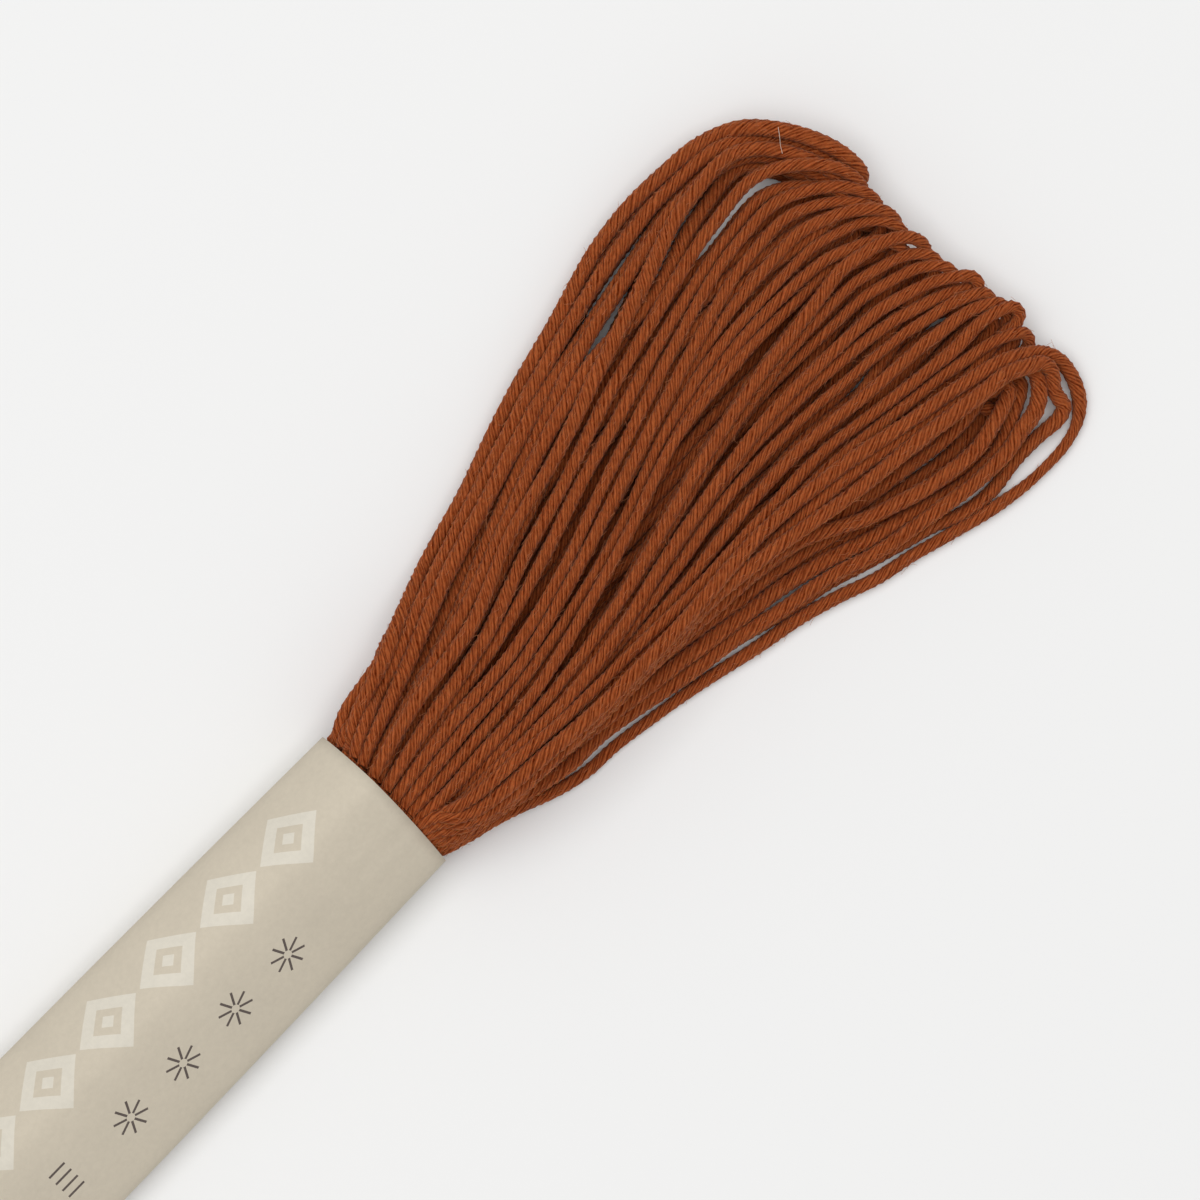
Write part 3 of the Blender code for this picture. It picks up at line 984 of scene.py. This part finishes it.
# -----------------------------------------------------------------------------
# The band: one strip of uncoated buff paper, rolled tight round the middle of the hank and glued
# to itself low down on its right side. It is pressed to a low ridge, and printed with a pale row
# of diamonds, small dark stars and a ladder.
# -----------------------------------------------------------------------------

# The paper's thickness; where round it the lap starts and ends; between which shares of a turn
# it tucks in under itself, and how far; how far its cut ends stop short of the band's full
# length, and are hollowed from a line a little left of the middle; and its faces round and along.
PAPER = 0.17
LAP_STARTS = math.radians(-162)
LAP_ENDS = math.radians(-98)
TUCKS_IN = (0.84, 0.98)
TUCK_DEPTH = PAPER * 1.15
SHORT_OF_FULL = 0.13
HOLLOWED = 0.006
HOLLOWED_FROM = 1
AROUND = 200
ALONG = 72
GIRTH_STEPS = 400

# Low waves in the paper, by how much each turns in a millimetre across or a radian round, how
# much in one along, from where, and its height: over the strands near a mouth, and all over.
STRAND_WAVES = ((5.1, 0.07, 0, 0.020), (3.3, -0.1, 1, 0.012))
STRAND_WAVES_REACH = 9
PAPER_WAVES = ((2.1, 0.31, 0, 0.03), (-3, 0.83, 0, 0.02))


def waves(rows, turn, x):
    """The height of a few crossing waves at a place."""
    return sum(
        height * math.sin(across * turn + along * x + start)
        for across, along, start, height in rows
    )


def paper_point(x, angle, tucked):
    """A point of the paper's outside, in millimetres, at an angle round it; tucked is how far
    it lies inside another turn of the paper."""
    half_width, half_height = band_size(x)
    power = 2 / BAND_SQUARENESS
    side, top = math.cos(angle), math.sin(angle)
    y = (half_width - tucked) * math.copysign(abs(side) ** power, side)
    upright = (half_height - tucked) * math.copysign(abs(top) ** power, top)
    z = (half_height + upright) * sunk(x, y)
    near_mouth = float(ease(HALF_BAND - STRAND_WAVES_REACH, HALF_BAND, abs(x)))
    wave = near_mouth * waves(STRAND_WAVES, y, x) + waves(PAPER_WAVES, angle, x)
    end = SHORT_OF_FULL + HOLLOWED * (y - HOLLOWED_FROM) ** 2
    return x * (1 - end / HALF_BAND), y, z + wave * max(0, top)


strip = bmesh.new()
bmesh.ops.create_grid(strip, x_segments=ALONG, y_segments=AROUND, size=1)
flat_paper = strip.loops.layers.uv.new("flat_paper")
full_turn = 2 * math.pi
roll = full_turn + LAP_ENDS - LAP_STARTS
turns_round = np.linspace(0, 1, GIRTH_STEPS)
girth = length_along([paper_point(0, LAP_STARTS + t * roll, 0)[1:] for t in turns_round])
top_middle = np.interp((math.pi / 2 - LAP_STARTS) / roll, turns_round, girth)
for face in strip.faces:
    face.smooth = True
    for corner in face.loops:
        x, t = corner.vert.co.x * HALF_BAND, (corner.vert.co.y + 1) / 2
        corner[flat_paper].uv = (x, top_middle - np.interp(t, turns_round, girth))
for vert in strip.verts:
    x, t = vert.co.x * HALF_BAND, (vert.co.y + 1) / 2
    tucked_in = TUCK_DEPTH * float(ease(*TUCKS_IN, t * roll / full_turn))
    vert.co = Vector(paper_point(x, LAP_STARTS + t * roll, tucked_in)) * MM
bmesh.ops.reverse_faces(strip, faces=strip.faces)
strip.normal_update()
band_mesh = bpy.data.meshes.new("paper_strip")
strip.to_mesh(band_mesh)
strip.free()
paper_strip = bpy.data.objects.new("paper_strip", band_mesh)
scene.collection.objects.link(paper_strip)
thick = paper_strip.modifiers.new("paper_thickness", "SOLIDIFY")
thick.thickness = PAPER * MM
thick.offset = -1

# The print: how many marks each row has, how far apart they are, and the row's middle, along and
# across. A diamond has half its length and width, and the shares of them between which its
# outline lies. A star has its rays' reach. HALF_LINE is half the width of a ray or a bar.
PAPER_COLOUR = (0.605, 0.540, 0.432, 1)
PALE_INK = (0.70, 0.655, 0.56, 1)
DARK_INK = (0.075, 0.055, 0.052, 1)
INK_COVERS = 0.92
DIAMONDS = 11
DIAMOND_PITCH = 4.7
DIAMOND_ROW = (0.0, 2.55)
DIAMOND_HALF = (2.2, 2.1)
DIAMOND_OUTLINE = (0.52, 1.0)
DIAMOND_HEART = 0.22
STARS = 4
STAR_PITCH = 4.15
STAR_ROW = (12.745, -2.65)
STAR_RAYS = 8
RAY_REACH = (0.26, 1.10)
HALF_LINE = 0.075
BARS = 4
BAR_PITCH = 0.62
BAR_ROW = (1.6, -2.48)
HALF_BAR = 0.6

# The paper's grain and clouds, how much they lighten its darkest tone, and its surface.
GRAIN_SCALE = 3.2
CLOUD_SCALE = 0.25
DARKEST_TONE = 0.87
GRAIN_TONE = 0.16
CLOUD_TONE = 0.10
PAPER_RELIEF = 0.35
PAPER_RELIEF_DEPTH = 0.03
PAPER_SURFACE = {"Roughness": 0.85, "Specular IOR Level": 0.2}


def within(tree, value, low, high):
    """1 where a value is between two others, and 0 elsewhere."""
    return calculate(tree, "COMPARE", value, (low + high) / 2, (high - low) / 2)


def row_of_marks(tree, place, middle, count, pitch):
    """The distance from the nearest mark in an even row of them, and 1 along the row."""
    half = count * pitch / 2
    from_start = calculate(tree, "SUBTRACT", place, middle - half)
    cell = calculate(tree, "FLOORED_MODULO", from_start, pitch)
    return calculate(tree, "SUBTRACT", cell, pitch / 2), within(tree, from_start, 0, 2 * half)


def diamonds(tree, along, across):
    """The pale row of diamonds, each an outline round a heart."""
    aside, in_row = row_of_marks(tree, along, DIAMOND_ROW[0], DIAMONDS, DIAMOND_PITCH)
    aside = calculate(tree, "ABSOLUTE", aside)
    above = calculate(tree, "ABSOLUTE", calculate(tree, "SUBTRACT", across, DIAMOND_ROW[1]))
    above = calculate(tree, "DIVIDE", above, DIAMOND_HALF[1])
    slant = calculate(tree, "MULTIPLY_ADD", aside, 1 / DIAMOND_HALF[0], above)
    outline = within(tree, slant, *DIAMOND_OUTLINE)
    heart = within(tree, slant, -DIAMOND_HEART, DIAMOND_HEART)
    return calculate(tree, "MULTIPLY", calculate(tree, "MAXIMUM", outline, heart), in_row)


def stars(tree, along, across):
    """The row of dark stars, each a ring of separate rays."""
    aside, in_row = row_of_marks(tree, along, STAR_ROW[0], STARS, STAR_PITCH)
    above = calculate(tree, "SUBTRACT", across, STAR_ROW[1])
    square = calculate(tree, "MULTIPLY", above, above)
    away = calculate(tree, "SQRT", calculate(tree, "MULTIPLY_ADD", aside, aside, square))
    ray = 2 * math.pi / STAR_RAYS
    bearing = calculate(tree, "FLOORED_MODULO", calculate(tree, "ARCTAN2", above, aside), ray)
    from_ray = calculate(tree, "SINE", calculate(tree, "SUBTRACT", bearing, ray / 2))
    from_ray = calculate(tree, "MULTIPLY", from_ray, away)
    rays = within(tree, from_ray, -HALF_LINE, HALF_LINE)
    rays = calculate(tree, "MULTIPLY", rays, within(tree, away, *RAY_REACH))
    return calculate(tree, "MULTIPLY", rays, in_row)


def ladder(tree, along, across):
    """The small dark ladder of bars."""
    above, in_row = row_of_marks(tree, across, BAR_ROW[1], BARS, BAR_PITCH)
    bars = within(tree, above, -HALF_LINE, HALF_LINE)
    bars = calculate(tree, "MULTIPLY", bars, in_row)
    in_bar = within(tree, along, BAR_ROW[0] - HALF_BAR, BAR_ROW[0] + HALF_BAR)
    return calculate(tree, "MULTIPLY", bars, in_bar)


def printed_paper(name):
    """Buff paper with a fine grain; u runs along the strip and v across it, in millimetres."""
    material, tree, shader = new_material(name, PAPER_SURFACE)
    coordinates = add_node(tree, "ShaderNodeTexCoord", {}).outputs
    along, across, _ = add_node(tree, "ShaderNodeSeparateXYZ", {0: coordinates["UV"]}).outputs
    pale = mixed(tree, diamonds(tree, along, across), PAPER_COLOUR, PALE_INK)
    dark = calculate(tree, "MAXIMUM", stars(tree, along, across), ladder(tree, along, across))
    inked = mixed(tree, calculate(tree, "MULTIPLY", dark, INK_COVERS), pale, DARK_INK)
    grain = noise(tree, coordinates["Object"], Scale=GRAIN_SCALE / MM, Detail=3.0, Roughness=0.65)
    cloud = noise(tree, coordinates["Object"], Scale=CLOUD_SCALE / MM)
    tone = calculate(tree, "MULTIPLY_ADD", grain, GRAIN_TONE, DARKEST_TONE)
    tone = calculate(tree, "MULTIPLY_ADD", cloud, CLOUD_TONE, tone)
    tree.links.new(toned(tree, inked, tone), shader.inputs["Base Color"])
    raised(tree, shader, grain, PAPER_RELIEF, PAPER_RELIEF_DEPTH)
    return material


band_mesh.materials.append(printed_paper("buff_paper"))
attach(paper_strip, "root")
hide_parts("paper_band")
